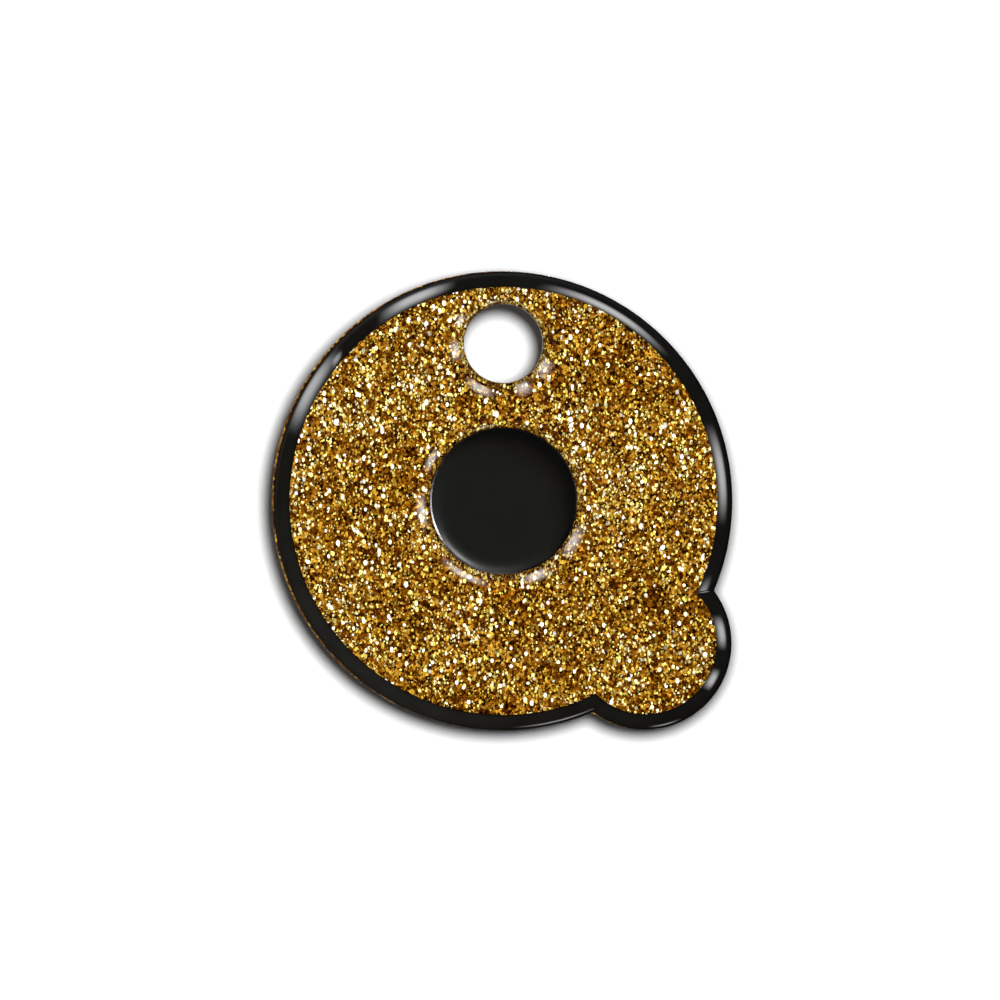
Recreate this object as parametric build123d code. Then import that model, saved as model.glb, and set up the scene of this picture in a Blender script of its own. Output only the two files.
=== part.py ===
"""A glitter enamel badge with a hanging hole, and two posts with butterfly clutches on its back.

Units are millimetres. The badge stands upright. Its decorated face looks along -Y, its back face lies on
the plane Y = 0 and its posts point along +Y. The origin is the centre of the round body.

The front is a stack. A metal base plate carries a glitter enamel layer, which has a black enamel outline
on its border. A thin collar on the plate keeps the glitter out of a round well in the middle, whose floor
is black enamel. A clear resin dome covers everything except the well and the hanging hole.
"""

from build123d import *
from math import cos, radians, sin
import os

# Outline, seen from the front: a round body with a small round lobe at its lower right
BODY_R = 15.0
LOBE_R = 5.65
LOBE_REACH = 13.15
LOBE_ANGLE = radians(-45)
LOBE_X = LOBE_REACH * cos(LOBE_ANGLE)
LOBE_Z = LOBE_REACH * sin(LOBE_ANGLE)
HOLE_R = 2.6
HOLE_Z = 10.3
WELL_R = 4.7

# Layers, measured from the back face towards the front
BASE_T = 1.2
GLITTER_T = 0.8
OUTLINE_T = 0.25
OUTLINE_WIDTH = 0.94
DOME_T = 1.1
DOME_SHOULDER = 0.8
CENTRE_T = 0.35
COLLAR_WALL = 0.12
COLLAR_PROUD = 0.05
GLITTER_FRONT = BASE_T + GLITTER_T
DOME_FRONT = GLITTER_FRONT + DOME_T

# Posts, measured from the back face away from the badge
POST_X = 7.5
SEAT_R = 2.6
SEAT_DEPTH = 0.2
FLANGE_R = 2.2
FLANGE_TOP = 0.25
SHANK_R = 0.6
NECK_R = 0.43
NECK_FROM = 3.3
NECK_TO = 6.1
NECK_EASE = 0.1
TIP_FROM = 6.6
TIP_BASE_R = 0.5
TIP_R = 0.08
POST_LENGTH = 8.2
SOLDER_SLACK = 0.005

# Clutches, measured from the tips of the dish's teeth away from the badge
CLUTCH_GAP = 3.4
SHEET = 0.35
WEB_BOTTOM = 0.35
WEB_TOP = WEB_BOTTOM + SHEET
DISH_R = 5.7
LIP_R = 4.5
LIP_SHEET = 0.25
FUNNEL_R = 1.6
FUNNEL_RISE = 0.25
GUIDE_R = 0.67
TOOTH_R = 0.35
TOOTH_TIP_R = 0.05
TOOTH_RING_R = 3.3
TOOTH_COUNT = 6
COVER_SHEET = 0.3
COVER_R = 3.6
COVER_FLANGE_R = 5.3
COVER_TOP = 2.8
LIP_TOP = WEB_TOP + COVER_SHEET + LIP_SHEET
SLOT_HALF_WIDTH = 1.5
SLOT_HALF_REACH = 2.65
CORNER_R = 0.25

# Wings: each rocks on a line across the slot in the cover and ends in a jaw beside the post
WING_SHEET = 0.3
WING_BEND_R = 0.45
PIVOT_REACH = 2.0
JAW_HEIGHT = 1.6
JAW_GAP = 0.06
JAW_NOTCH_R = 0.63
ROOT_WIDTH = 2.6
EAR_FROM = 3.05
EAR_WIDTH = 4.4
EAR_REACH = 4.4
EAR_TOP = 6.3
EAR_CORNER_R = 1.4
SPRING_RING_R = 2.98
SPRING_WIRE_R = 0.18
SPRING_GAP_ANGLE = 40.0

SIDES = {"left": -POST_X, "right": POST_X}


def outline(inset=0.0):
    """The badge's outline drawn in by inset."""
    return Circle(BODY_R - inset) + Pos(LOBE_X, LOBE_Z) * Circle(LOBE_R - inset)


def slab(sketch, start, thickness):
    """A sketch of the front view, made solid from start to start + thickness in front of the back face."""
    return extrude(Plane.XZ.offset(start) * sketch, amount=thickness)


def hanging_hole():
    """The outline of the hanging hole."""
    return Pos(0, HOLE_Z) * Circle(HOLE_R)


def spun(profile):
    """A closed profile of (radius, height) points turned about the Z axis."""
    return revolve(Plane.XZ * make_face(Polyline(*profile, close=True)), Axis.Z)


def on_back(x, height=0.0):
    """Stands a shape that is modelled along the Z axis on the back face at x."""
    return Pos(x, 0, 0) * Rot(-90, 0, 0) * Pos(0, 0, height)


def base_plate():
    """Plated plate with a collar round the well and a shallow seat for each post."""
    plate = slab(outline() - hanging_hole(), 0, BASE_T)
    collar = Circle(WELL_R + COLLAR_WALL) - Circle(WELL_R)
    plate += slab(collar, BASE_T, GLITTER_T + COLLAR_PROUD)
    for x in SIDES.values():
        plate -= slab(Pos(x, 0) * Circle(SEAT_R), 0, SEAT_DEPTH)
    return plate


def glitter_enamel():
    """Glitter layer, out to the edge of the plate and round the collar and the hanging hole."""
    return slab(outline() - Circle(WELL_R + COLLAR_WALL) - hanging_hole(), BASE_T, GLITTER_T)


def outline_enamel():
    """Black band on the border of the glitter layer."""
    return slab(outline() - outline(OUTLINE_WIDTH), GLITTER_FRONT, OUTLINE_T)


def centre_enamel():
    """Black enamel floor of the well."""
    return slab(Circle(WELL_R), BASE_T, CENTRE_T)


def domed_disc(radius):
    """A disc of resin on the glitter layer, rounded over at its front edge."""
    disc = slab(Circle(radius), GLITTER_FRONT, DOME_T)
    return fillet(disc.edges().group_by(Axis.Y)[0], DOME_SHOULDER)


def clear_dome():
    """Clear resin over the glitter layer and the black band, rounded over at every edge."""
    dome = domed_disc(BODY_R) + Pos(LOBE_X, 0, LOBE_Z) * domed_disc(LOBE_R)
    for opening in (hanging_hole(), Circle(WELL_R + COLLAR_WALL)):
        cutter = slab(opening, GLITTER_FRONT, DOME_T)
        dome -= cutter
        rim = cutter.edges().group_by(Axis.Y)[0].sort_by(Axis.Z)[0]
        front_edges = dome.edges().filter_by_position(Axis.Y, -DOME_FRONT, -DOME_FRONT)
        dome = fillet(front_edges.sort_by_distance(rim.center())[0], DOME_SHOULDER)
    return dome - outline_enamel()


def post():
    """Nail post: a flange that sits in the plate, a shank, a relieved neck and a pointed tip."""
    return spun(
        [
            (0, -SEAT_DEPTH),
            (FLANGE_R, -SEAT_DEPTH),
            (FLANGE_R, FLANGE_TOP),
            (SHANK_R, FLANGE_TOP),
            (SHANK_R, NECK_FROM),
            (NECK_R, NECK_FROM + NECK_EASE),
            (NECK_R, NECK_TO - NECK_EASE),
            (SHANK_R, NECK_TO),
            (TIP_BASE_R, TIP_FROM),
            (TIP_R, POST_LENGTH),
            (0, POST_LENGTH),
        ]
    )


def solder_ring():
    """Solder round the flange of a post, flush with the back face."""
    ring = Circle(SEAT_R - SOLDER_SLACK) - Circle(FLANGE_R + SOLDER_SLACK)
    return Pos(0, 0, -SEAT_DEPTH) * extrude(ring, amount=SEAT_DEPTH)


def clutch_dish():
    """Stamped dish: a funnel that guides the post, teeth towards the cloth and a rim rolled over the cover."""
    lip_under = LIP_TOP - LIP_SHEET
    dish = spun(
        [
            (GUIDE_R, WEB_BOTTOM + FUNNEL_RISE),
            (FUNNEL_R, WEB_BOTTOM),
            (DISH_R, WEB_BOTTOM),
            (DISH_R, LIP_TOP),
            (LIP_R, LIP_TOP),
            (LIP_R, lip_under),
            (DISH_R - LIP_SHEET, lip_under),
            (DISH_R - LIP_SHEET, WEB_TOP),
            (FUNNEL_R, WEB_TOP),
            (GUIDE_R, WEB_TOP + FUNNEL_RISE),
        ]
    )
    circles = dish.edges().filter_by(GeomType.CIRCLE)
    dish = fillet(circles.filter_by(lambda edge: edge.radius > DISH_R - CORNER_R / 2), CORNER_R)
    tooth = Cone(TOOTH_TIP_R, TOOTH_R, WEB_BOTTOM, align=(Align.CENTER, Align.CENTER, Align.MIN))
    for place in PolarLocations(TOOTH_RING_R, TOOTH_COUNT):
        dish += place * tooth
    return dish


def clutch_cover():
    """Stamped cover held by the dish: a flange, a drum and a top with a slot for the wings."""
    inner_r = COVER_R - COVER_SHEET
    inner_top = COVER_TOP - COVER_SHEET
    flange_top = WEB_TOP + COVER_SHEET
    cover = spun(
        [
            (0, inner_top),
            (inner_r, inner_top),
            (inner_r, WEB_TOP),
            (COVER_FLANGE_R, WEB_TOP),
            (COVER_FLANGE_R, flange_top),
            (COVER_R, flange_top),
            (COVER_R, COVER_TOP),
            (0, COVER_TOP),
        ]
    )
    cover = fillet(cover.edges().group_by(Axis.Z)[-1].sort_by(SortBy.RADIUS)[-1], CORNER_R)
    slot = Box(2 * SLOT_HALF_WIDTH, 2 * SLOT_HALF_REACH, 2 * COVER_SHEET)
    return cover - Pos(0, 0, COVER_TOP) * Pos(0, 0, -COVER_SHEET / 2) * slot


def wing():
    """One wing on the +Y side of a clutch: a jaw beside the post, a root in the slot and a flared ear."""
    bends = FilletPolyline(
        (JAW_GAP, JAW_HEIGHT),
        (PIVOT_REACH, JAW_HEIGHT),
        (PIVOT_REACH, EAR_FROM),
        (EAR_REACH, EAR_TOP),
        radius=WING_BEND_R,
    )
    strip = extrude(Plane.YZ * trace(bends, WING_SHEET), EAR_WIDTH / 2, both=True)
    root = Pos(0, EAR_FROM / 2) * Rectangle(ROOT_WIDTH, EAR_FROM)
    ear_height = EAR_TOP + WING_SHEET - EAR_FROM
    ear = Pos(0, EAR_FROM + ear_height / 2) * RectangleRounded(EAR_WIDTH, ear_height, EAR_CORNER_R)
    silhouette = extrude(Plane.XZ * (root + ear), EAR_REACH + EAR_WIDTH, both=True)
    notch = Pos(0, 0, JAW_HEIGHT) * Cylinder(JAW_NOTCH_R, 2 * WING_SHEET)
    return (strip & silhouette) - notch


def clutch_spring():
    """Open wire ring that lies round both jaws inside the cover."""
    wire = Plane.XZ * Pos(SPRING_RING_R, JAW_HEIGHT) * Circle(SPRING_WIRE_R)
    ring = revolve(wire, Axis.Z, 360 - SPRING_GAP_ANGLE)
    return Rot(0, 0, SPRING_GAP_ANGLE / 2) * ring


def clutch(side, x):
    """The five pieces of one clutch, in place on its post."""
    seat = on_back(x, CLUTCH_GAP)
    return {
        f"{side}_clutch_dish": seat * clutch_dish(),
        f"{side}_clutch_cover": seat * clutch_cover(),
        f"{side}_clutch_spring": seat * clutch_spring(),
        f"{side}_clutch_lower_wing": seat * wing(),
        f"{side}_clutch_upper_wing": seat * Rot(0, 0, 180) * wing(),
    }


def badge():
    """Every piece of the badge by name."""
    pieces = {
        "base_plate": base_plate(),
        "glitter_enamel": glitter_enamel(),
        "outline_enamel": outline_enamel(),
        "centre_enamel": centre_enamel(),
        "clear_dome": clear_dome(),
        "post_solder": Compound(children=[on_back(x) * solder_ring() for x in SIDES.values()]),
    }
    for side, x in SIDES.items():
        pieces[f"{side}_post"] = on_back(x) * post()
        pieces.update(clutch(side, x))
    return pieces


os.makedirs("parts", exist_ok=True)
for name, piece in badge().items():
    export_step(piece, f"parts/{name}.step")
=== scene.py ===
"""Glitter enamel badge with a hanging hole and two butterfly clutches: its looks, in the CAD's frame."""

import math

import bmesh
import bpy
import numpy as np
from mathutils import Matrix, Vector
from mathutils.geometry import delaunay_2d_cdt


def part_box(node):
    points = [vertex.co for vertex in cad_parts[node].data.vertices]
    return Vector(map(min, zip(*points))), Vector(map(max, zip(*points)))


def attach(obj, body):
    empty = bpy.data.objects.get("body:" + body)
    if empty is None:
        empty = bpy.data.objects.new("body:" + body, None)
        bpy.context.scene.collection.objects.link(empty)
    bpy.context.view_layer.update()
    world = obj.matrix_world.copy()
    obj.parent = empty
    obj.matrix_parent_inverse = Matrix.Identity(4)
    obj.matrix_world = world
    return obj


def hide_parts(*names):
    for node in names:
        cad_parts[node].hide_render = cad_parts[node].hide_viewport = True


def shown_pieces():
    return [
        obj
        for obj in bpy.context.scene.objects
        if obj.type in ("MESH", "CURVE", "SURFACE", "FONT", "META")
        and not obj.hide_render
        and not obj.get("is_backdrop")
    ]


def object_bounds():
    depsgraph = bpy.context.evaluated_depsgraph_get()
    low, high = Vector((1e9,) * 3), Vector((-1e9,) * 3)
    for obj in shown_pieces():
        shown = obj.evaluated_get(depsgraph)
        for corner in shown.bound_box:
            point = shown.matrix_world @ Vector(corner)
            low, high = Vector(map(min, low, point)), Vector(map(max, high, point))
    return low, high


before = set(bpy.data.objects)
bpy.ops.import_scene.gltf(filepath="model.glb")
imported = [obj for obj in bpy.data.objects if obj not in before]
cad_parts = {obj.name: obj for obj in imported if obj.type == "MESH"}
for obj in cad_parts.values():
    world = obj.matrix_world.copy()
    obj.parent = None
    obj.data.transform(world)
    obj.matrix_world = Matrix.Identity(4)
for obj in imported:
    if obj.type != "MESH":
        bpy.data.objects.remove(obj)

CAD_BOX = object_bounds()
MM = 0.001
rng = np.random.default_rng(20)

# ---------------------------------------------------------------- sizes (mm), as the CAD has them
BODY_R = 15.0
LOBE_R, LOBE_REACH, LOBE_ANGLE = 5.65, 13.15, math.radians(-45)
LOBE = (LOBE_REACH * math.cos(LOBE_ANGLE), LOBE_REACH * math.sin(LOBE_ANGLE))
HOLE, HOLE_R = (0.0, 10.3), 2.6
WELL, WELL_R, COLLAR_R = (0.0, 0.0), 4.7, 4.82
SEAT_R, FLANGE_R, SHANK_R, NECK_R, TIP_BASE_R = 2.6, 2.2, 0.6, 0.43, 0.5
NECK_FROM, NECK_TO, TIP_FROM = 3.3, 6.1, 6.6
GUIDE_R, NOTCH_R, SHEET = 0.67, 0.63, 0.3


def front_of(node):
    """How far a CAD node reaches in front of the back face, in mm."""
    return -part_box(node)[0].y / MM


GLITTER = front_of("glitter_enamel")
BAND = front_of("outline_enamel")
DOME = front_of("clear_dome")
COLLAR = front_of("base_plate")
CENTRE = front_of("centre_enamel")
BASE = -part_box("glitter_enamel")[1].y / MM
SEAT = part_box("left_post")[0].y / MM
POSTS = {s: (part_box(f"{s}_post")[0].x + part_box(f"{s}_post")[1].x) / 2 / MM for s in ("left", "right")}
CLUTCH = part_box("left_clutch_dish")[0].y / MM

# ---------------------------------------------------------------- looks (mm), beyond what the CAD has
GLITTER_SLIP = np.array([-0.13, 0.02])  # the layers don't sit quite true on each other
DOME_SLIP = np.array([-0.04, 0.0])
BAND_LEAN = -0.035  # sideways shift of the band's outer edge
STREAK = np.array([0.72, 1.0, 1.18])  # stretch of the flakes: a little longer up and down than across

# softboxes: azimuth about the face's axis, width, near and far limit off that axis (degrees), strength;
# they are glowing cards that the fittings mirror, and highlights painted as glow on the dome
SOFTBOXES = (
    (-75, 20, 84, 108, 5.0),
    (-28, 15, 15, 62, 11.0),
    (7, 22, 15, 70, 10.5),
    (59, 32, 14, 52, 12.5),
    (112, 19, 15, 82, 12.0),
    (138, 4, 15, 50, 6.0),
    (149, 22, 15, 98, 10.0),
)


# ---------------------------------------------------------------- outlines in the (x, z) plane
def outline(inset):
    """The badge's outline drawn in by inset, as a loop whose points match from one inset to another."""
    rb, rl = BODY_R - inset, LOBE_R - inset
    along = (LOBE_REACH**2 + rb**2 - rl**2) / (2 * LOBE_REACH)
    half = math.sqrt(rb**2 - along**2)
    a, b = math.atan2(half, along), math.atan2(half, along - LOBE_REACH)
    body = np.linspace(LOBE_ANGLE + a, LOBE_ANGLE + 2 * math.pi - a, 600, endpoint=False)
    lobe = np.linspace(LOBE_ANGLE - b, LOBE_ANGLE + b, 260, endpoint=False)
    return np.concatenate([
        np.stack([rb * np.cos(body), rb * np.sin(body)], 1),
        np.stack([LOBE[0] + rl * np.cos(lobe), LOBE[1] + rl * np.sin(lobe)], 1),
    ])


def circle(centre, r, n=192):
    t = np.linspace(0, 2 * math.pi, n, endpoint=False)
    return np.stack([centre[0] + r * np.cos(t), centre[1] + r * np.sin(t)], 1)


def edge_distance(x, z):
    """How far inside the enamelled face a point lies."""
    outer = np.maximum(BODY_R - np.hypot(x, z), LOBE_R - np.hypot(x - LOBE[0], z - LOBE[1]))
    hole = np.hypot(x - HOLE[0], z - HOLE[1]) - HOLE_R
    return np.minimum(np.minimum(outer, hole), np.hypot(x, z) - COLLAR_R)


def arc(centre, rx, ry, start, end, n=6):
    """Points along a stretch of an ellipse, angles in degrees."""
    t = np.radians(np.linspace(start, end, n))
    return [(centre[0] + rx * math.cos(a), centre[1] + ry * math.sin(a)) for a in t]


def rounded(points, radius, n=6, closed=True):
    """A polyline with its corners rounded; radius is one number or one per corner."""
    pts = [np.array(p, float) for p in points]
    out = []
    for i, p in enumerate(pts):
        r = radius if np.isscalar(radius) else radius[i]
        if r == 0 or (not closed and i in (0, len(pts) - 1)):
            out.append(tuple(p))
            continue
        a, b = pts[i - 1] - p, pts[(i + 1) % len(pts)] - p
        la, lb = np.linalg.norm(a), np.linalg.norm(b)
        cut = min(r, la * 0.45, lb * 0.45)
        for t in np.linspace(0, 1, n):
            q = (1 - t) ** 2 * (p + a / la * cut) + 2 * t * (1 - t) * p + t**2 * (p + b / lb * cut)
            out.append(tuple(q))
    return out


def within(points, loop):
    """Which points lie inside a closed loop."""
    x, z = points[:, 0:1], points[:, 1:2]
    a = np.asarray(loop, float)
    b = np.roll(a, -1, 0)
    spans = (a[:, 1] > z) != (b[:, 1] > z)
    rise = np.where(a[:, 1] == b[:, 1], 1.0, b[:, 1] - a[:, 1])
    crossing = a[:, 0] + (z - a[:, 1]) * (b[:, 0] - a[:, 0]) / rise
    return (spans & (x < crossing)).sum(1) % 2 == 1


# ---------------------------------------------------------------- mesh building
class Skin:
    """Collects loops, strips and caps in mm, then makes one welded mesh of them."""

    def __init__(self):
        self.verts, self.faces = [], []

    def add(self, points):
        start = len(self.verts)
        self.verts += [tuple(map(float, p)) for p in points]
        return list(range(start, len(self.verts)))

    def strip(self, loops, closed_across=False):
        """Joins closed loops of equal length, each to the next and, if asked, the last to the first."""
        rows = [self.add(loop) for loop in loops]
        following = rows[1:] + rows[:1] if closed_across else rows[1:]
        for a, b in zip(rows, following):
            n = len(a)
            self.faces += [(a[i], a[(i + 1) % n], b[(i + 1) % n], b[i]) for i in range(n)]

    def sheet(self, grid):
        """A grid of points, open on all sides."""
        rows = [self.add(row) for row in grid]
        for a, b in zip(rows, rows[1:]):
            self.faces += [(a[i], a[i + 1], b[i + 1], b[i]) for i in range(len(a) - 1)]

    def cap(self, loops, y):
        """A flat face at depth y inside the first loop of (x, z) and outside the others."""
        pts, edges = [], []
        for loop in loops:
            s, n = len(pts), len(loop)
            pts += [Vector((float(p[0]), float(p[1]))) for p in loop]
            edges += [(s + i, s + (i + 1) % n) for i in range(n)]
        co, _, tris, _, _, _ = delaunay_2d_cdt(pts, edges, [], 1, 1e-5)
        flat = np.array([tuple(p) for p in co])
        middles = flat[np.array(tris)].mean(1)
        keep = within(middles, loops[0])
        for hole in loops[1:]:
            keep &= ~within(middles, hole)
        ids = self.add([(p.x, y, p.y) for p in co])
        self.faces += [tuple(ids[i] for i in t) for t, kept in zip(tris, keep) if kept]

    def mesh(self, name):
        weld = 1e-4
        bm = bmesh.new()
        vs = [bm.verts.new(v) for v in self.verts]
        for f in self.faces:
            try:
                bm.faces.new([vs[i] for i in f])
            except ValueError:  # the same face is there already
                pass
        bmesh.ops.remove_doubles(bm, verts=bm.verts, dist=weld)
        bmesh.ops.dissolve_degenerate(bm, edges=bm.edges, dist=weld)
        bmesh.ops.recalc_face_normals(bm, faces=bm.faces)
        bmesh.ops.scale(bm, vec=(MM, MM, MM), verts=bm.verts)
        me = bpy.data.meshes.new(name)
        bm.to_mesh(me)
        bm.free()
        return me


def piece(name, me, mat, body, stands_for=None, sharp=32, even=True):
    """A finished object on its body; even keeps broad flat faces flat where they meet a rounding."""
    ob = bpy.data.objects.new(name, me)
    bpy.context.scene.collection.objects.link(ob)
    me.materials.append(mat)
    me.shade_smooth()
    me.set_sharp_from_angle(angle=math.radians(sharp))
    if even:
        ob.modifiers.new("even_normals", "WEIGHTED_NORMAL").keep_sharp = True
    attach(ob, body)
    if stands_for:
        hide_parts(stands_for)
    return ob


def at_depth(loop, y):
    """A loop of (x, z) points as points in space."""
    return [(p[0], y, p[1]) for p in loop]


def spun(skin, profile, x0, y0, n, closed=True):
    """Turns a (radius, height) profile about the post axis at x0; height runs along +Y from y0."""
    t = np.linspace(0, 2 * math.pi, n, endpoint=False)
    loops = [[(x0 + r * math.cos(a), y0 + h, r * math.sin(a)) for a in t] for r, h in profile]
    skin.strip(loops, closed)


# ---------------------------------------------------------------- materials
def material(name):
    mat = bpy.data.materials.new(name)
    mat.use_nodes = True
    nt = mat.node_tree
    nt.nodes.clear()
    return mat, nt


def node(nt, kind, **values):
    """A node with its settings or the values of its inputs given by name."""
    n = nt.nodes.new(kind)
    for k, v in values.items():
        if hasattr(n, k):
            setattr(n, k, v)
        else:
            n.inputs[k.replace("_", " ")].default_value = v
    return n


def ramp(nt, fac, stops):
    """Turns a value into a colour by (value, colour) stops."""
    n = nt.nodes.new("ShaderNodeValToRGB")
    els = n.color_ramp.elements
    while len(els) < len(stops):
        els.new(0.5)
    for e, (pos, col) in zip(els, stops):
        e.position = pos
        e.color = (*col, 1.0)
    nt.links.new(fac, n.inputs["Fac"])
    return n.outputs["Color"]


def span(nt, fac, lo, hi, from_lo=0.0, from_hi=1.0, smooth=False):
    """Maps a value from one range to another, and no further than its ends."""
    n = nt.nodes.new("ShaderNodeMapRange")
    if smooth:
        n.interpolation_type = "SMOOTHSTEP"
    n.inputs["From Min"].default_value, n.inputs["From Max"].default_value = from_lo, from_hi
    n.inputs["To Min"].default_value, n.inputs["To Max"].default_value = lo, hi
    nt.links.new(fac, n.inputs["Value"])
    return n.outputs["Result"]


def calc(nt, operation, *values, clamp=False):
    """A maths node fed by sockets or plain numbers."""
    n = node(nt, "ShaderNodeMath", operation=operation, use_clamp=clamp)
    for into, value in zip(n.inputs, values):
        if isinstance(value, (int, float)):
            into.default_value = value
        else:
            nt.links.new(value, into)
    return n.outputs[0]


def alignment(nt, co, direction):
    """How closely directions agree with one direction: 1 along it, -1 against it."""
    n = node(nt, "ShaderNodeVectorMath", operation="DOT_PRODUCT")
    n.inputs[1].default_value = Vector(direction).normalized()
    nt.links.new(co, n.inputs[0])
    return n.outputs["Value"]


def mixed(nt, share, first, second):
    """The first shader, giving way to the second as share goes from 0 to 1."""
    n = node(nt, "ShaderNodeMixShader")
    for into, value in zip(n.inputs, (share, first, second)):
        nt.links.new(value, into)
    return n.outputs[0]


def show(nt, shader, output="ShaderNodeOutputMaterial"):
    """Makes the shader the one that is seen."""
    nt.links.new(shader, nt.nodes.new(output).inputs["Surface"])


def place(nt):
    """Where a point of the object lies, so that a pattern moves with the piece."""
    return node(nt, "ShaderNodeTexCoord").outputs["Object"]


def noise(nt, co, scale, detail, rough=0.5, stretch=None):
    """Cloudy noise; scale counts its features in a metre."""
    if stretch:
        m = nt.nodes.new("ShaderNodeMapping")
        m.inputs["Scale"].default_value = stretch
        nt.links.new(co, m.inputs["Vector"])
        co = m.outputs["Vector"]
    n = node(nt, "ShaderNodeTexNoise", Scale=scale, Detail=detail, Roughness=rough)
    nt.links.new(co, n.inputs["Vector"])
    return n.outputs["Fac"]


def finish_material(nt, colour, rough, metallic=0.0, bump=None, bump_mm=0.01, strength=1.0, **inputs):
    p = node(nt, "ShaderNodeBsdfPrincipled", Metallic=metallic)
    for k, v in inputs.items():
        p.inputs[k.replace("_", " ")].default_value = v
    nt.links.new(colour, p.inputs["Base Color"])
    nt.links.new(rough, p.inputs["Roughness"])
    if bump is not None:
        b = node(nt, "ShaderNodeBump", Strength=strength, Distance=bump_mm * MM)
        nt.links.new(bump, b.inputs["Height"])
        nt.links.new(b.outputs["Normal"], p.inputs["Normal"])
    show(nt, p.outputs["BSDF"])


def metal(name, dark, light, rough, grain_mm, bump_mm, scratches, stretch=(1, 1, 1)):
    """Plated or bare metal: cloudy tone, rubbed roughness, fine pits and hairline scratches."""
    mat, nt = material(name)
    co = place(nt)
    colour = ramp(nt, noise(nt, co, 260, 4), [(0.3, dark), (0.7, light)])
    rub = noise(nt, co, 1 / (grain_mm * MM), 5, 0.6, stretch)
    hair = noise(nt, co, 9000, 2, 0.5, (1, 0.06, 0.35))
    relief = calc(nt, "MULTIPLY_ADD", hair, scratches, rub)
    finish_material(nt, colour, span(nt, rub, *rough, 0.3, 0.7), 1.0, relief, bump_mm)
    return mat


def flake_material(name, stops, rough):
    """Each flake takes its own tone from the stops, and whole patches lean darker or paler."""
    mat, nt = material(name)
    co = place(nt)
    own = node(nt, "ShaderNodeNewGeometry").outputs["Random Per Island"]
    patch = span(nt, noise(nt, co, 180, 3, 0.6), -0.17, 0.17, 0.3, 0.7)
    colour = ramp(nt, calc(nt, "ADD", own, patch), stops)
    finish_material(nt, colour, span(nt, noise(nt, co, 6000, 2), *rough), 1.0)
    return mat


def glitter_bed_material():
    """Brown-gold resin crowded with specks too fine to model one by one."""
    mat, nt = material("glitter_bed")
    cell = node(nt, "ShaderNodeTexVoronoi", Scale=5200.0)
    nt.links.new(place(nt), cell.inputs["Vector"])
    sep = node(nt, "ShaderNodeSeparateColor")
    nt.links.new(cell.outputs["Color"], sep.inputs["Color"])
    tone, rough, height = (sep.outputs[k] for k in ("Red", "Green", "Blue"))
    colour = ramp(nt, tone, [
        (0.0, (0.006, 0.001, 0.0001)),
        (0.4, (0.06, 0.015, 0.0004)),
        (0.75, (0.19, 0.066, 0.003)),
        (1.0, (0.5, 0.27, 0.03)),
    ])
    rough = span(nt, rough, 0.25, 0.55)
    finish_material(nt, colour, rough, 0.75, height, 0.03, 0.8, Specular_IOR_Level=0.0)
    return mat


def enamel(name, dark, light, rough, **inputs):
    """Black enamel with faint cloudiness and a hardly visible ripple."""
    mat, nt = material(name)
    co = place(nt)
    colour = ramp(nt, noise(nt, co, 500, 4), [(0.3, dark), (0.7, light)])
    ripple = noise(nt, co, 700, 2)
    finish_material(nt, colour, span(nt, noise(nt, co, 2500, 5), *rough), 0.0, ripple, 0.006, **inputs)
    return mat


def window(nt, angle, centre, width):
    """One in the middle of a range of angles, fading smoothly to nothing a little beyond its ends."""
    apart = calc(nt, "WRAP", calc(nt, "SUBTRACT", angle, math.radians(centre)), math.pi, -math.pi)
    half = math.radians(width / 2)
    return span(nt, calc(nt, "ABSOLUTE", apart), 1.0, 0.0, 0.15 * half, 1.25 * half, smooth=True)


def painted_softbox_reflections(nt):
    """Painted reflection of the softboxes: a glow strength worked out from the direction that each point of
    a surface reflects, not light gathered from the cards.
    """
    seen = node(nt, "ShaderNodeSeparateXYZ")
    nt.links.new(node(nt, "ShaderNodeTexCoord").outputs["Reflection"], seen.inputs[0])
    off = calc(nt, "ARCCOSINE", calc(nt, "MULTIPLY", seen.outputs["Y"], -1.0))
    azimuth = calc(nt, "ARCTAN2", seen.outputs["Z"], seen.outputs["X"])
    total = 0.0
    for middle, width, near, far, strength in SOFTBOXES:
        across = window(nt, azimuth, middle, width)
        along = window(nt, off, (near + far) / 2, far - near)
        total = calc(nt, "MULTIPLY_ADD", calc(nt, "MULTIPLY", across, along), strength, total)
    # a surface seen dead square gets no painted reflection, so that a texture taken of it holds none
    slant = node(nt, "ShaderNodeLayerWeight", Blend=0.5).outputs["Facing"]
    return calc(nt, "MULTIPLY", total, span(nt, slant, 0, 1, 0.0005, 0.005))


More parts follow.
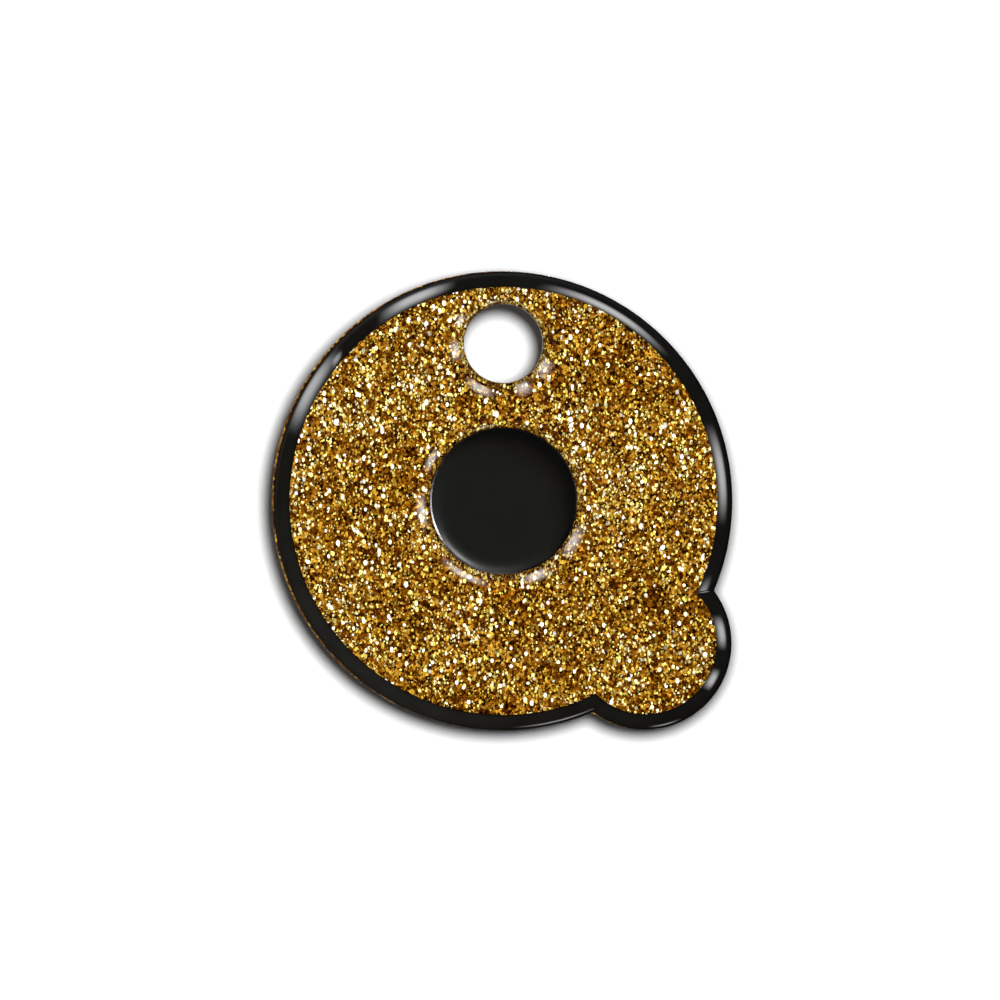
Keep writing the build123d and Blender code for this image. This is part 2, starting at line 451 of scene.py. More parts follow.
def resin():
    """Clear dome: what is below shows through, darker where it is steep; the surface mirrors the room by
    angle, and the softboxes' highlights on it are painted on as glow.
    """
    mat, nt = material("clear_resin")
    co = place(nt)
    slant = node(nt, "ShaderNodeLayerWeight", Blend=0.5).outputs["Facing"]
    clear = node(nt, "ShaderNodeBsdfTransparent")
    tint = ramp(nt, slant, [(0.1, (0.99, 0.978, 0.935)), (0.5, (0.66, 0.59, 0.48))])
    nt.links.new(tint, clear.inputs["Color"])
    gloss = node(nt, "ShaderNodeBsdfGlossy")
    nt.links.new(span(nt, noise(nt, co, 900, 3), 0.07, 0.11), gloss.inputs["Roughness"])
    fresnel = node(nt, "ShaderNodeFresnel", IOR=1.5)
    ripple = node(nt, "ShaderNodeBump", Strength=0.1, Distance=0.001 * MM)
    nt.links.new(noise(nt, co, 300, 1), ripple.inputs["Height"])
    for uneven in (gloss, fresnel):
        nt.links.new(ripple.outputs["Normal"], uneven.inputs["Normal"])
    # painted highlight: glow that draws the softboxes' reflections, shown in the mirror's share like a real
    # reflection
    painted_glints = node(nt, "ShaderNodeEmission")
    nt.links.new(painted_softbox_reflections(nt), painted_glints.inputs["Strength"])
    surface = node(nt, "ShaderNodeAddShader")
    nt.links.new(gloss.outputs[0], surface.inputs[0])
    nt.links.new(painted_glints.outputs[0], surface.inputs[1])
    capped = calc(nt, "MINIMUM", fresnel.outputs["Fac"], span(nt, slant, 0.065, 0.01, 0.3, 0.5))
    inside = node(nt, "ShaderNodeNewGeometry").outputs["Backfacing"]
    share = calc(nt, "SUBTRACT", capped, inside, clamp=True)
    show(nt, mixed(nt, share, clear.outputs[0], surface.outputs[0]))
    mat.cycles.emission_sampling = "NONE"
    return mat


# name, dark and light tone, roughness, grain and relief in mm, share of scratches, stretch of the grain
BLACK_NICKEL = metal(
    "black_nickel", (0.075, 0.074, 0.078), (0.13, 0.128, 0.135), (0.16, 0.34), 0.3, 0.012, 0.3
)
NICKEL = metal(
    "bright_nickel", (0.56, 0.54, 0.50), (0.72, 0.70, 0.66), (0.14, 0.30), 0.15, 0.003, 0.8, (1, 0.2, 1)
)
SOLDER = metal("tin_solder", (0.36, 0.36, 0.37), (0.62, 0.62, 0.63), (0.3, 0.5), 0.5, 0.02, 0.1)
BRASS = metal("stamped_brass", (0.66, 0.44, 0.14), (0.86, 0.64, 0.26), (0.16, 0.32), 0.35, 0.004, 0.6)
WING_BRASS = metal(
    "wing_brass", (0.62, 0.40, 0.12), (0.82, 0.60, 0.23), (0.20, 0.36), 0.25, 0.005, 0.9, (1, 0.15, 1)
)
SPRING_STEEL = metal("spring_steel", (0.30, 0.30, 0.32), (0.48, 0.48, 0.50), (0.2, 0.35), 0.1, 0.003, 0.6)
BAND_BLACK = enamel(
    "outline_black", (0.013, 0.013, 0.0125), (0.019, 0.019, 0.0183), (0.3, 0.4), Specular_IOR_Level=0.0
)
CENTRE_BLACK = enamel("centre_black", (0.019, 0.019, 0.0172), (0.024, 0.024, 0.0218), (0.30, 0.38))
BED = glitter_bed_material()
RESIN = resin()
FLAKES = flake_material("gold_flakes", [
    (0.0, (0.002, 0.0004, 0.0)),
    (0.14, (0.028, 0.006, 0.0002)),
    (0.32, (0.09, 0.024, 0.0002)),
    (0.53, (0.25, 0.096, 0.002)),
    (0.71, (0.60, 0.40, 0.035)),
    (0.86, (1.0, 0.92, 0.24)),
    (1.0, (1.0, 1.0, 0.7)),
], (0.4, 0.55))
SPARKS = flake_material("pale_flakes", [
    (0.0, (0.98, 0.90, 0.50)),
    (0.4, (1.0, 0.98, 0.84)),
    (1.0, (1.0, 1.0, 1.0)),
], (0.3, 0.5))


# ---------------------------------------------------------------- badge front
def make_base_plate():
    s = Skin()
    bevel, hole_bevel, seat_bevel = 0.16, 0.14, 0.04
    back_edge = arc((bevel, -bevel), -bevel, bevel, 90, 0)
    s.strip([at_depth(outline(i), y) for i, y in back_edge + [(0.0, -BASE)]])
    hole_edge = arc((HOLE_R + hole_bevel, -hole_bevel), -hole_bevel, hole_bevel, 90, 0)
    s.strip([at_depth(circle(HOLE, r, 128), y) for r, y in hole_edge + [(HOLE_R, -BASE)]])
    seats = []
    seat_wall = ((SEAT_R + seat_bevel, 0), (SEAT_R, -seat_bevel), (SEAT_R, SEAT))
    for x in POSTS.values():
        seats.append(circle((x, 0), SEAT_R + seat_bevel, 96))
        s.strip([at_depth(circle((x, 0), r, 96), y) for r, y in seat_wall])
        s.cap([circle((x, 0), SEAT_R, 96)], SEAT)
    s.cap([outline(bevel), circle(HOLE, HOLE_R + hole_bevel, 128)] + seats, 0.0)
    s.cap([outline(0), circle(HOLE, HOLE_R, 128), circle(WELL, COLLAR_R)], -BASE)
    rim = [
        (COLLAR_R, -BASE), (COLLAR_R, -COLLAR + 0.02), (COLLAR_R - 0.02, -COLLAR),
        (WELL_R + 0.1, -COLLAR), (WELL_R, -COLLAR + 0.06), (WELL_R, -BASE),
    ]
    s.strip([at_depth(circle(WELL, r), y) for r, y in rim])
    s.cap([circle(WELL, WELL_R)], -BASE)
    piece("base_plate_cast", s.mesh("base_plate_cast"), BLACK_NICKEL, "badge", "base_plate")


def make_glitter_bed():
    s = Skin()
    shapes = [outline(0) + GLITTER_SLIP, circle(HOLE, HOLE_R, 128), circle(WELL, COLLAR_R)]
    for shape in shapes:
        s.strip([at_depth(shape, -BASE), at_depth(shape, -GLITTER)])
    for y in (-BASE, -GLITTER):
        s.cap(shapes, y)
    piece("glitter_layer", s.mesh("glitter_layer"), BED, "badge", "glitter_enamel")


def polygons(centres, normals, radii, corners):
    """Small flat flakes as one mesh, each its own island."""
    n = len(centres)
    helper = np.where(np.abs(normals[:, 2:3]) < 0.9, [[0, 0, 1.0]], [[1.0, 0, 0]])
    u = np.cross(normals, helper)
    u /= np.linalg.norm(u, axis=1, keepdims=True)
    v = np.cross(normals, u)
    turn = rng.uniform(0, 2 * math.pi, n)
    squash = rng.uniform(0.55, 1.0, n)
    verts = []
    for k in range(corners):
        a = turn + 2 * math.pi * k / corners
        ca, sa = np.cos(a), np.sin(a) * squash
        verts.append(centres + radii[:, None] * (ca[:, None] * u + sa[:, None] * v) * STREAK)
    verts = np.stack(verts, 1).reshape(-1, 3) * MM
    me = bpy.data.meshes.new("flakes")
    me.from_pydata(verts.tolist(), [], np.arange(n * corners).reshape(n, corners).tolist())
    return me


def tilted(base, spread):
    """Unit normals scattered about base directions."""
    n = base + rng.normal(0, spread, base.shape)
    return n / np.linalg.norm(n, axis=1, keepdims=True)


def face_flakes(count, lo, hi, spread, depth):
    """Up to count flakes lying nearly flat all over the face, their radii from lo to hi."""
    reach = BODY_R + 0.1
    x, z = rng.uniform(-reach, reach, (2, count * 2))
    d = edge_distance(x, z)
    ok = d > 0.03
    x, z, d = x[ok][:count], z[ok][:count], d[ok][:count]
    r = np.minimum(lo + (hi - lo) * rng.beta(1.6, 3.0, len(x)), d)
    y = -GLITTER + rng.uniform(*depth, len(x))
    base = np.tile([[0, -1.0, 0]], (len(x), 1))
    return np.stack([x, y, z], 1), tilted(base, spread), r


def edge_flakes(count):
    """Small flakes crowded along the two openings, where the resin meets the wall."""
    c = []
    for centre, r, share in ((HOLE, HOLE_R, 0.36), (WELL, COLLAR_R, 0.64)):
        n = int(count * share)
        a, d = rng.uniform(0, 2 * math.pi, n), rng.uniform(0.04, 0.3, n)
        y = -GLITTER + rng.uniform(-0.03, 0.01, n)
        c.append(np.stack([centre[0] + (r + d) * np.cos(a), y, centre[1] + (r + d) * np.sin(a)], 1))
    c = np.concatenate(c)
    base = np.tile([[0, -1.0, 0]], (len(c), 1))
    r = np.minimum(rng.uniform(0.04, 0.12, len(c)), edge_distance(c[:, 0], c[:, 2]))
    return c, tilted(base, 0.16), r


def wall_flakes(count):
    """Flakes that show at the cut edge of the layer, round the outside and in the hanging hole."""
    out, ring = outline(-0.005) + GLITTER_SLIP, circle(HOLE, HOLE_R - 0.005, 400)
    c, n = [], []
    for loop, sign, share in ((out, 1, 0.87), (ring, -1, 0.13)):
        i = rng.integers(0, len(loop), int(count * share))
        nxt = np.roll(loop, -1, 0)
        t = rng.uniform(0, 1, len(i))[:, None]
        p = loop[i] * (1 - t) + nxt[i] * t
        d = nxt[i] - loop[i]
        d /= np.linalg.norm(d, axis=1, keepdims=True)
        c.append(np.stack([p[:, 0], -rng.uniform(BASE + 0.1, GLITTER - 0.05, len(i)), p[:, 1]], 1))
        n.append(np.stack([sign * d[:, 1], np.zeros(len(i)), -sign * d[:, 0]], 1))
    c, n = np.concatenate(c), np.concatenate(n)
    return c, tilted(n, 0.08), rng.uniform(0.05, 0.12, len(c))


def make_flakes():
    # how many, radii from and to, scatter of their tilt, and depths from and to about the layer's face
    fine = [face_flakes(38000, 0.05, 0.13, 0.16, (-0.03, 0.02)), edge_flakes(3600), wall_flakes(4200)]
    coarse = [face_flakes(7000, 0.08, 0.20, 0.14, (-0.05, 0.0))]
    pale = [face_flakes(640, 0.09, 0.23, 0.10, (-0.07, -0.03))]
    for name, sets, mat, corners in (
        ("glitter_flakes_fine", fine, FLAKES, 5),
        ("glitter_flakes_coarse", coarse, FLAKES, 6),
        ("glitter_flakes_pale", pale, SPARKS, 6),
    ):
        centres, normals, radii = (np.concatenate(v) for v in zip(*sets))
        me = polygons(centres, normals, radii, corners)
        ob = piece(name, me, mat, "badge", even=False)
        ob.data.shade_flat()


def make_outline_band():
    """A flat-topped band with rounded edges, its distance from the outline and depth given as a section."""
    s = Skin()
    near, far, e = 0.0, 1.0, 0.07
    rise, fall = np.linspace(0.3, 1.57, 5), np.linspace(0, 1.3, 5)
    section = [(near, -GLITTER), (near, -BAND + e)]
    section += [(near + e - e * math.cos(a), -BAND + e - e * math.sin(a)) for a in rise]
    section += [(far - e + e * math.sin(a), -BAND + e - e * math.cos(a)) for a in fall]
    section += [(far, -BAND + e), (far, -GLITTER)]
    leaning = [(outline(i) + [BAND_LEAN * (far - i) / (far - near), 0], y) for i, y in section]
    s.strip([at_depth(loop, y) for loop, y in leaning], closed_across=True)
    piece("outline_band", s.mesh("outline_band"), BAND_BLACK, "badge", "outline_enamel")


def make_centre():
    """The well's floor, with the enamel drawn up a little where it meets the wall."""
    s = Skin()
    inner, flat, edge, creep = 0.4, 3.7, WELL_R - 0.004, 0.22
    section = []
    for r in np.linspace(inner, edge, 60):
        climb = max(0, (r - flat) / (WELL_R - flat)) ** 3
        section.append((r, -(CENTRE + creep * climb)))
    section.append((edge, -BASE))
    s.strip([at_depth(circle(WELL, r), y) for r, y in section])
    s.cap([circle(WELL, inner)], -CENTRE)
    s.cap([circle(WELL, edge)], -BASE)
    piece("centre_floor", s.mesh("centre_floor"), CENTRE_BLACK, "badge", "centre_enamel")


def shoulder(width, wall):
    """(distance from the edge, depth) from the foot of the dome up to its flat top."""
    rise = DOME - GLITTER - wall
    pts = [(0.0, -GLITTER - 0.01), (0.0, -GLITTER - wall)]
    for t in np.linspace(0, math.pi / 2, 28)[1:]:
        pts.append((width * (1 - math.cos(t)), -(GLITTER + wall + rise * math.sin(t))))
    return pts


def make_dome():
    s = Skin()
    # the hole's loop moves down as it widens, and so stays clear of the outer edge's shoulder
    edges = (
        (lambda i: outline(i) + DOME_SLIP, shoulder(1.15, 0.3)),
        (lambda i: circle((HOLE[0], HOLE[1] - 0.2 * i), HOLE_R + i), shoulder(1.15, 0.35)),
        (lambda i: circle(WELL, COLLAR_R + i, 256), shoulder(1.1, 0.35)),
    )
    for loop, rise in edges:
        s.strip([at_depth(loop(i), y) for i, y in rise])
    for end in (0, -1):
        s.cap([loop(rise[end][0]) for loop, rise in edges], edges[0][1][end][1])
    piece("dome_shell", s.mesh("dome_shell"), RESIN, "badge", "clear_dome", 40)


# ---------------------------------------------------------------- posts and clutches
def make_post(side, x):
    """A nail: flange in its seat, shank, relieved neck and point, turned from one profile."""
    s = Skin()
    axis, top = 0.02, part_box(f"{side}_post")[1].y / MM
    corners = [
        (axis, SEAT), (FLANGE_R, SEAT), (FLANGE_R, 0.22), (SHANK_R + 0.2, 0.27), (SHANK_R, 0.5),
        (SHANK_R, NECK_FROM), (NECK_R, NECK_FROM + 0.1), (NECK_R, NECK_TO - 0.1), (SHANK_R, NECK_TO),
        (TIP_BASE_R, TIP_FROM), (0.13, top - 0.25), (axis, top),
    ]
    radii = [0, 0.03, 0.12, 0.2, 0.2, 0.06, 0.06, 0.06, 0.08, 0.15, 0.08, 0]
    spun(s, rounded(corners, radii, closed=False), x, 0, 72, False)
    for y in (SEAT, top):
        s.cap([circle((x, 0), axis, 72)], y)
    piece(f"{side}_nail_post", s.mesh("post"), NICKEL, "badge", f"{side}_post")


def make_solder():
    """A lumpy ring of solder round each flange, filling its seat and running down to the plate."""
    s = Skin()
    inner = FLANGE_R + 0.005
    outer = SEAT_R - 0.005
    section = (
        (inner, SEAT), (inner, 0.10), (2.25, 0.075), (2.35, 0.035), (2.46, 0.02),
        (2.56, 0.0), (outer, -0.05), (outer, SEAT),
    )
    turn = np.linspace(0, 2 * math.pi, 120, endpoint=False)
    for x in POSTS.values():
        lump = 0.5 + 0.3 * np.sin(3 * turn + x) + 0.2 * np.sin(7 * turn + 2 * x)
        rows = []
        for r, h in section:
            height = h * lump if h > 0 else np.full(len(turn), h)
            rows.append([(x + r * math.cos(a), float(y), r * math.sin(a)) for a, y in zip(turn, height)])
        s.strip(rows, closed_across=True)
    piece("solder_fillets", s.mesh("solder"), SOLDER, "badge", "post_solder")


def make_dish(side, x):
    """The clutch's base: a dish whose rim is rolled over the cover's foot, with six pressed dimples."""
    s = Skin()
    web, top, lip = 0.35, 0.7, 1.25
    rim_r, lip_r, sheet, guide_foot_r = 5.7, 4.5, 0.25, 1.6
    section = [
        (GUIDE_R, web + sheet), (guide_foot_r, web), (rim_r, web), (rim_r, lip), (lip_r, lip),
        (lip_r, lip - sheet), (rim_r - sheet, lip - sheet), (rim_r - sheet, top), (guide_foot_r, top),
        (GUIDE_R, top + sheet),
    ]
    radii = [0.1, 0.3, 0.3, 0.28, 0.11, 0.11, 0.04, 0.05, 0.3, 0.1]
    spun(s, rounded(section, radii), x, CLUTCH, 160)
    dimples, ring_r = 6, 3.3
    bowl = ((0.42, web + 0.02), (0.30, web - 0.06), (0.16, web - 0.2), (0.04, 0.0))
    for k in range(dimples):
        a = 2 * math.pi * k / dimples
        middle = (x + ring_r * math.cos(a), ring_r * math.sin(a))
        s.strip([at_depth(circle(middle, r, 20), CLUTCH + h) for r, h in bowl])
        for r, h in (bowl[-1], bowl[0]):
            s.cap([circle(middle, r, 20)], CLUTCH + h)
    piece(f"{side}_dish", s.mesh("dish"), BRASS, f"{side}_clutch", f"{side}_clutch_dish")


def slot_loop(x, half_w, half_h, r=0.22, n=8):
    """A rectangle with rounded corners about the post's axis."""
    pts = []
    for cx, cz, start in ((1, 1, 0), (-1, 1, 90), (-1, -1, 180), (1, -1, 270)):
        for a in np.radians(np.linspace(start, start + 90, n)):
            pts.append((x + cx * (half_w - r) + r * math.cos(a), cz * (half_h - r) + r * math.sin(a)))
    return pts


def make_cover(side, x):
    """The clutch's hat: a foot under the dish's rim, a wall, and a flat top with the wings' slot in it."""
    s = Skin()
    foot, top, bevel = 0.7, 2.8, 0.05
    foot_r, wall_r, flat_r = 5.3, 3.6, 3.1
    slot_w, slot_h = 1.5, 2.65
    inner_r, under = wall_r - SHEET, top - SHEET
    section = [
        (flat_r, under), (inner_r, under), (inner_r, foot), (foot_r, foot), (foot_r, foot + SHEET),
        (wall_r, foot + SHEET), (wall_r, top), (flat_r, top),
    ]
    radii = [0, 0.12, 0.1, 0.1, 0.1, 0.15, 0.4, 0]
    spun(s, rounded(section, radii, closed=False), x, CLUTCH, 160, False)
    walls = [(bevel, top), (0.0, top - bevel), (0.0, under + bevel), (bevel, under)]
    s.strip([at_depth(slot_loop(x, slot_w + w, slot_h + w), CLUTCH + h) for w, h in walls])
    for h in (top, under):
        s.cap([circle((x, 0), flat_r, 160), slot_loop(x, slot_w + bevel, slot_h + bevel)], CLUTCH + h)
    piece(f"{side}_cover", s.mesh("cover"), BRASS, f"{side}_clutch", f"{side}_clutch_cover")


def make_spring(side, x):
    """An open ring of wire inside the cover, its two ends rounded off."""
    s = Skin()
    wire_r, ring_r, height, gap, end_length = 0.18, 2.98, 1.6, 20, 0.05
    first, last = math.radians(gap), math.radians(360 - gap)
    up = np.array([0, 1, 0])
    rows = []
    for a in np.linspace(first, last, 90):
        from_end = min(a - first, last - a)
        taper = 1.0
        if from_end <= end_length:
            taper = max(0.25, math.sqrt(max(0.0, 1 - (1 - from_end / end_length) ** 2)))
        out = np.array([math.cos(a), 0, math.sin(a)])
        middle = np.array([x, CLUTCH + height, 0]) + ring_r * out
        turn = np.linspace(0, 2 * math.pi, 16, endpoint=False)
        rows.append([middle + taper * wire_r * (math.cos(b) * out + math.sin(b) * up) for b in turn])
    s.strip(rows)
    for row in (rows[0], rows[-1]):
        s.faces.append(tuple(s.add(row)))
    stands_for = f"{side}_clutch_spring"
    piece(f"{side}_spring_wire", s.mesh("spring"), SPRING_STEEL, f"{side}_grip", stands_for)


def make_wing(side, x, name, sign):
    """Sheet metal wing: notched jaw, root through the slot, flared ear with a pressed rib."""
    gap, jaw_h, root_y, root_h, bend_r = 0.06, 1.6, 2.0, 3.05, 0.5
    ear_tip, above_slot, flare = (4.4, 6.3), 3.12, 0.5
    jaw_half, ear_half, corner_r, corner_from = 1.3, 2.2, 1.25, 0.42
    rib_height, rib_half, rib_from, rib_length = 0.16, 0.30, 0.9, 2.4
    rib_up, rib_out = 0.59, 0.8
    corners = [(gap, jaw_h), (root_y, jaw_h), (root_y, root_h), ear_tip]
    path = np.array(rounded(corners, bend_r, 10, closed=False))
    along = np.r_[0, np.cumsum(np.linalg.norm(np.diff(path, axis=0), axis=1))]
    root = np.interp(above_slot, path[:, 1], along)
    rows = []
    for v in np.linspace(-1, 1, 41):
        row = []
        reach = abs(v * jaw_half)
        notch = math.sqrt(max(NOTCH_R**2 - reach**2, 0)) if reach < NOTCH_R else gap
        start = max(notch - gap, 0)
        round_in = max(0.0, (abs(v) - corner_from) / (1 - corner_from))
        trim = corner_r * (1 - math.sqrt(max(0.0, 1 - round_in**2)))
        for u in np.linspace(0, 1, 61):
            here = start + u * (along[-1] - trim - start)
            t = np.clip((here - root) / flare, 0, 1)
            half = jaw_half + (ear_half - jaw_half) * t * t * (3 - 2 * t)
            y, h = np.interp(here, along, path[:, 0]), np.interp(here, along, path[:, 1])
            ear = np.clip((here - root - rib_from) / rib_length, 0, 1)
            rib = 0
            if 0 < ear < 1:
                rib = rib_height * math.exp(-((v / rib_half) ** 2)) * math.sin(math.pi * ear) ** 0.8
            row.append((x + v * half, CLUTCH + h + rib * rib_up, -sign * (y - rib * rib_out)))
        rows.append(row)
    s = Skin()
    s.sheet(rows)
    body, stands_for = f"{side}_{name}_wing", f"{side}_clutch_{name}_wing"
    ob = piece(f"{body}_sheet", s.mesh("wing"), WING_BRASS, body, stands_for, 50, even=False)
    solid = ob.modifiers.new("thickness", "SOLIDIFY")
    solid.thickness, solid.offset = SHEET * MM, 0
    soft = ob.modifiers.new("edges", "BEVEL")
    soft.width, soft.segments = 0.06 * MM, 2
    soft.limit_method, soft.angle_limit = "ANGLE", math.radians(60)


make_base_plate()
make_glitter_bed()
make_flakes()
make_outline_band()
make_centre()
make_dome()
make_solder()
for side, x in POSTS.items():
    make_post(side, x)
    make_dish(side, x)
    make_cover(side, x)
    make_spring(side, x)
    make_wing(side, x, "lower", 1)
    make_wing(side, x, "upper", -1)


# ---------------------------------------------------------------- studio
def stage_object(name, me, mat):
    ob = bpy.data.objects.new(name, me)
    bpy.context.scene.collection.objects.link(ob)
    me.materials.append(mat)
    ob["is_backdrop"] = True
    return ob


def paper(name, tone):
    """Matt paper with faint mottling, seen by the camera only, and only from its front."""
    mat, nt = material(name)
    colour = ramp(nt, noise(nt, place(nt), 90, 4), [(0.3, (tone,) * 3), (0.7, (tone * 1.01,) * 3)])
    matt = node(nt, "ShaderNodeBsdfDiffuse")
    nt.links.new(colour, matt.inputs["Color"])
    glow = node(nt, "ShaderNodeEmission", Strength=1.02)
    slant = node(nt, "ShaderNodeLayerWeight", Blend=0.5).outputs["Facing"]
    sheet = mixed(nt, span(nt, slant, 0.0, 0.6, 0.03, 0.2), matt.outputs[0], glow.outputs[0])
    by_camera = node(nt, "ShaderNodeLightPath").outputs["Is Camera Ray"]
    behind = node(nt, "ShaderNodeNewGeometry").outputs["Backfacing"]
    shown = calc(nt, "SUBTRACT", by_camera, behind, clamp=True)
    show(nt, mixed(nt, shown, node(nt, "ShaderNodeBsdfTransparent").outputs[0], sheet))
    return mat


def sweep():
    """Pale floor that turns up into a pale wall behind the badge."""
    wall_y, floor_z, bend = CAD_BOX[1].y / MM + 1.6, -36, 3
    front, top, half_width = -600, 300, 400
    profile = [(front, floor_z), (wall_y - bend, floor_z)]
    for a in np.linspace(0.2, 1.57, 6):
        profile.append((wall_y - bend + bend * math.sin(a), floor_z + bend - bend * math.cos(a)))
    profile += [(wall_y, floor_z + bend), (wall_y, top)]
    s = Skin()
    s.sheet([[(x, y, z) for y, z in profile] for x in (-half_width, half_width)])
    me = s.mesh("sweep")
    me.update()
    if sum(p.normal.y for p in me.polygons) > 0:
        me.flip_normals()
    return stage_object("paper_sweep", me, paper("pale_paper", 0.2))


backdrop = sweep()


def linked(light, receivers, blockers=None):
    """Makes a lamp or glowing card light only some objects; if blockers are named, only they shade it."""
    c = bpy.data.collections.new(light.name + "_lit")
    for o in receivers:
        c.objects.link(o)
    light.light_linking.receiver_collection = c
    if blockers is not None:
        b = bpy.data.collections.new(light.name + "_shade")
        for o in blockers:
            b.objects.link(o)
        light.light_linking.blocker_collection = b


def lamp(name, kind, energy, direction, size, distance=0.6):
    """A lamp in a direction from the badge, pointing at it; size is a width, or a sun's angle."""
    data = bpy.data.lights.new(name, kind)
    data.energy = energy
    ob = bpy.data.objects.new(name, data)
    bpy.context.scene.collection.objects.link(ob)
    d = Vector(direction).normalized()
    ob.location = d * distance
    ob.rotation_mode = "QUATERNION"
    ob.rotation_quaternion = (-d).to_track_quat("-Z", "Y")
    if kind == "AREA":
        data.size = size
    if kind == "SUN":
        data.angle = size
    ob.visible_camera = False
    return ob


def toward(off, azimuth):
    """Direction off degrees away from the face's axis, towards azimuth in the face's plane."""
    o, a = math.radians(off), math.radians(azimuth)
    return (math.sin(o) * math.cos(a), -math.cos(o), math.sin(o) * math.sin(a))


def shadow_flag():
    """Thin strips along the badge's edge and inside its hole that only widen its shadow on the wall."""
    s = Skin()
    margin, hole_margin, y = 0.42, 0.29, -0.6
    wide = outline(-margin) * [1.014, 1.0] + [0.15, 0]
    narrow = circle((HOLE[0] + 0.06, HOLE[1]), HOLE_R - hole_margin)
    for outer, inner in ((wide, outline(0)), (circle(HOLE, HOLE_R), narrow)):
        s.strip([at_depth(outer, y), at_depth(inner, y)])
    ob = stage_object("shadow_flag", s.mesh("shadow_flag"), BAND_BLACK)
    ob.visible_camera = ob.visible_diffuse = ob.visible_glossy = ob.visible_transmission = False


shadow_flag()

PAPER_WHITE = 16.2  # strength at which the lit paper is white
for name, direction, angle in (("wall_key", toward(1.87, 57), 5), ("floor_key", (0.1, 0, 1), 12)):
    linked(lamp(name, "SUN", PAPER_WHITE, direction, math.radians(angle)), [backdrop])

OBJECTS = {o.name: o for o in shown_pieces()}
GLITTER_PIECES = [o for name, o in OBJECTS.items() if name.startswith("glitter")]
ALL_BUT_DOME = [o for name, o in OBJECTS.items() if name != "dome_shell"]
# lamp, power, direction, distance and size in metres, the pieces it lights, and the pieces that shade it
for name, power, direction, distance, size, receivers, blockers in (
    ("glitter_wash", 1.9, toward(10, 55), 0.5, 0.35, GLITTER_PIECES, []),
    ("glitter_side", 0.9, toward(46, 208), 0.5, 0.3, GLITTER_PIECES, []),
    ("front_soft", 0.35, toward(50, 70), 0.5, 0.35, ALL_BUT_DOME, None),
    ("back_key", 1.3, (0.5, 0.75, 0.6), 0.5, 0.3, ALL_BUT_DOME, None),
    ("back_fill", 1.0, (-0.8, 0.6, 0.15), 0.5, 0.4, ALL_BUT_DOME, None),
    ("band_side", 0.033, (-0.62, -0.35, -0.7), 0.055, 0.012, [OBJECTS["outline_band"]], []),
    ("well_side", 1.35, toward(58, 48), 0.5, 0.16, [OBJECTS["centre_floor"]], None),
    ("collar_line", 5.0, toward(62, 12), 0.5, 0.2, [OBJECTS["base_plate_cast"]], []),
):
    linked(lamp(name, "AREA", power, direction, size, distance), receivers, blockers)


def softbox(name, off_lo, off_hi, azimuth, width, strength):
    """A curved glowing card that only mirrors see, fading out towards its edges."""
    s = Skin()
    away, steps = 400, 9
    grid = []
    for a in np.linspace(azimuth - width / 2, azimuth + width / 2, steps):
        grid.append([tuple(away * c for c in toward(o, a)) for o in np.linspace(off_lo, off_hi, steps)])
    s.sheet(grid)
    me = s.mesh(name)
    uv = me.uv_layers.new(name="fade")
    for loop in me.loops:
        p = me.vertices[loop.vertex_index].co / MM / away
        off = math.degrees(math.acos(max(-1, min(1, -p.y))))
        az = math.degrees(math.atan2(p.z, p.x))
        across = ((az - azimuth + 180) % 360 - 180) / width + 0.5
        uv.data[loop.index].uv = ((off - off_lo) / (off_hi - off_lo), across)
    mat, nt = material(name)
    spot = node(nt, "ShaderNodeSeparateXYZ")
    nt.links.new(node(nt, "ShaderNodeUVMap", uv_map="fade").outputs["UV"], spot.inputs[0])
    glow = strength
    for axis in ("X", "Y"):
        from_edge = calc(nt, "PINGPONG", spot.outputs[axis], 0.5)
        glow = calc(nt, "MULTIPLY", span(nt, from_edge, 0.0, 1.0, 0.0, 0.25, smooth=True), glow)
    em = node(nt, "ShaderNodeEmission")
    nt.links.new(glow, em.inputs["Strength"])
    show(nt, em.outputs[0])
    ob = stage_object(name, me, mat)
    ob.visible_camera = ob.visible_diffuse = ob.visible_shadow = ob.visible_transmission = False
    return ob


FITTINGS = [o for name, o in OBJECTS.items() if name.startswith(("left", "right", "solder"))]
# the dome's highlights from these softboxes are painted in its material, so the cards light only the
# fittings
for i, (azimuth, width, near, far, strength) in enumerate(SOFTBOXES):
    linked(softbox(f"softbox_{i}", near, far, azimuth, width, strength), FITTINGS)


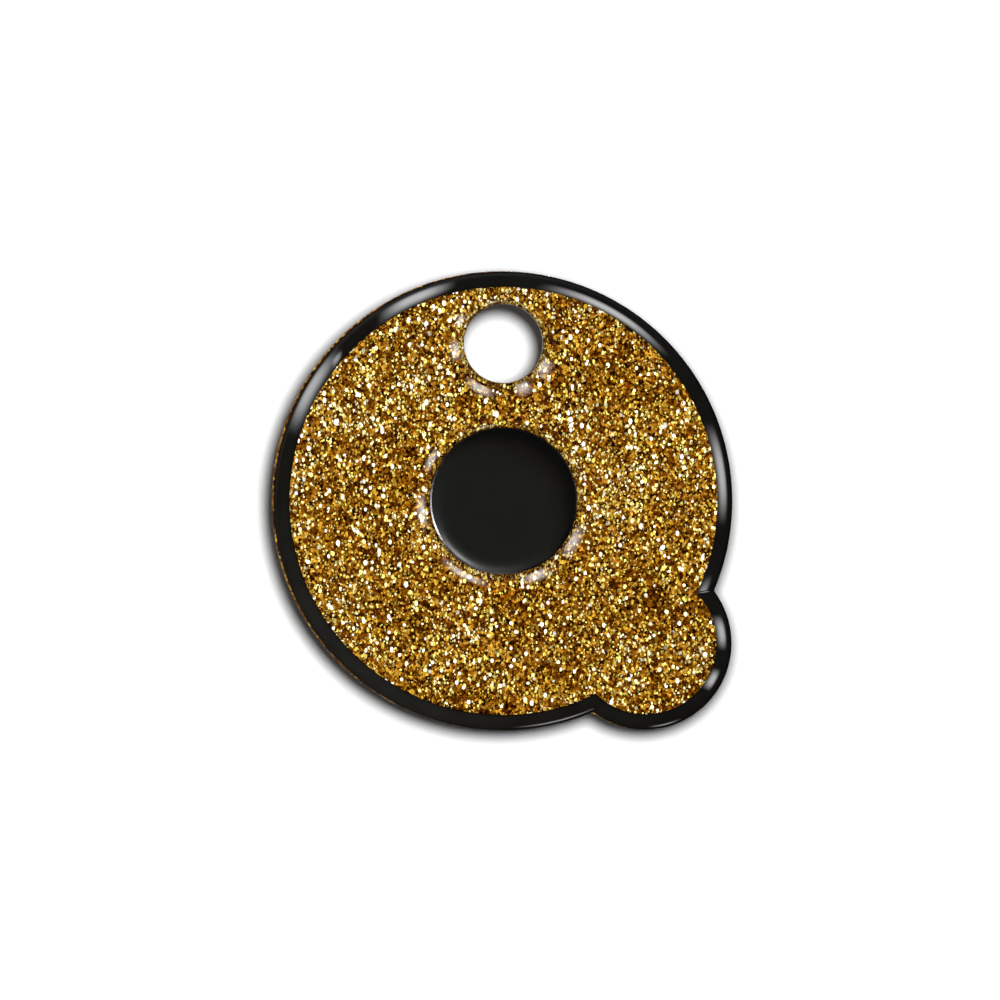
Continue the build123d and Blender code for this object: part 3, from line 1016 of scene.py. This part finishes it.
def sky():
    """White to the camera; to all else a grey room, bright behind the badge and dark near the camera."""
    world = bpy.data.worlds.new("studio")
    bpy.context.scene.world = world
    world.use_nodes = True
    nt = world.node_tree
    nt.nodes.clear()
    co = node(nt, "ShaderNodeTexCoord").outputs["Generated"]
    lit = alignment(nt, co, (0.45, -0.45, 0.77))
    tones = [(at, (tone,) * 3) for at, tone in ((0.0, 0.05), (0.5, 0.07), (0.74, 0.09), (1.0, 0.11))]
    glow = span(nt, alignment(nt, co, (-0.3, 0.8, 0.55)), 0.0, 0.6, 0.2, 1.0)
    both = node(nt, "ShaderNodeMix", data_type="RGBA", blend_type="ADD")
    both.inputs["Factor"].default_value = 1.0
    nt.links.new(ramp(nt, span(nt, lit, 0, 1, -1, 1), tones), both.inputs[6])
    nt.links.new(glow, both.inputs[7])
    room = node(nt, "ShaderNodeBackground")
    nt.links.new(both.outputs[2], room.inputs["Color"])
    ahead = alignment(nt, co, (0, -1, 0))
    wide, narrow = math.cos(math.radians(24)), math.cos(math.radians(10))
    nt.links.new(span(nt, ahead, 1.0, 0.05, wide, narrow), room.inputs["Strength"])
    white = node(nt, "ShaderNodeBackground", Strength=1.0)
    white.inputs["Color"].default_value = (1, 1, 1, 1)
    by_camera = node(nt, "ShaderNodeLightPath").outputs["Is Camera Ray"]
    show(nt, mixed(nt, by_camera, room.outputs[0], white.outputs[0]), "ShaderNodeOutputWorld")


sky()


def camera():
    """Looks almost square at the face from a metre away; field is the width it takes in there."""
    field, away, sensor, turn = 65.35, 1000, 36, math.radians(-1.2)
    aim = Vector((-0.25, -3.0, 0.06)) * MM
    data = bpy.data.cameras.new("camera")
    data.sensor_width, data.lens = sensor, sensor * away / field
    data.clip_start, data.clip_end = 0.01, 10
    ob = bpy.data.objects.new("camera", data)
    bpy.context.scene.collection.objects.link(ob)
    back = Vector((math.sin(turn), -math.cos(turn), 0))
    ob.location = aim + back * away * MM
    ob.rotation_mode = "QUATERNION"
    ob.rotation_quaternion = (-back).to_track_quat("-Z", "Y")
    bpy.context.scene.camera = ob
    bpy.context.scene.view_settings.view_transform = "Standard"


camera()

size = {"cad": [list(v) for v in CAD_BOX], "visual": [list(v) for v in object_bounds()]}
